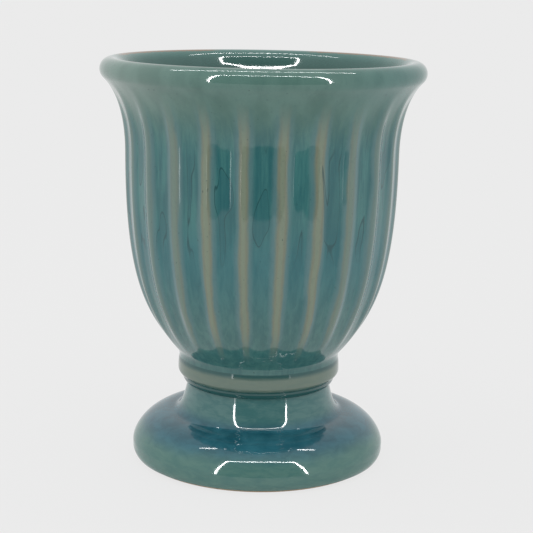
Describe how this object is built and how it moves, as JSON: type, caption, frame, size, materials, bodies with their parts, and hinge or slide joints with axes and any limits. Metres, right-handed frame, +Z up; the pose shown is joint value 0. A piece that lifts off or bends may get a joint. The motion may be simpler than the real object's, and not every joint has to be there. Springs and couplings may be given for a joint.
{
  "type": "vase",
  "caption": "Glazed ceramic pedestal vase: a fluted bowl with a flared, rolled lip on a beaded collar and a round domed foot.",
  "frame": {"origin": "centre of the ring that the vase stands on, at the height of the floor", "axes": "+Z up along the vase's axis; -Y towards the viewer of the picture, with one flute centred on it"},
  "size_m": [0.1584, 0.1584, 0.2],
  "materials": {
    "fired_clay": "bare tan fired clay, matt",
    "luting_slip": "fired slip in the joints, matt",
    "flute_glaze": "glossy blue-green glaze, tan over the ridges and deeper where it pools",
    "lining_glaze": "glossy dark green-blue glaze inside the bowl",
    "collar_glaze": "glossy grey-green glaze, olive tan over the bead",
    "foot_glaze": "glossy blue-green glaze, dark blue where it pools on the dome"
  },
  "bodies": {
    "root": {"bowl": "fired_clay", "collar_ring": "fired_clay", "pedestal_foot": "fired_clay", "upper_luting_slip": "luting_slip", "lower_luting_slip": "luting_slip", "bowl_glaze": "flute_glaze", "lining_glaze": "lining_glaze", "collar_glaze": "collar_glaze", "foot_glaze": "foot_glaze"}
  },
  "joints": []
}
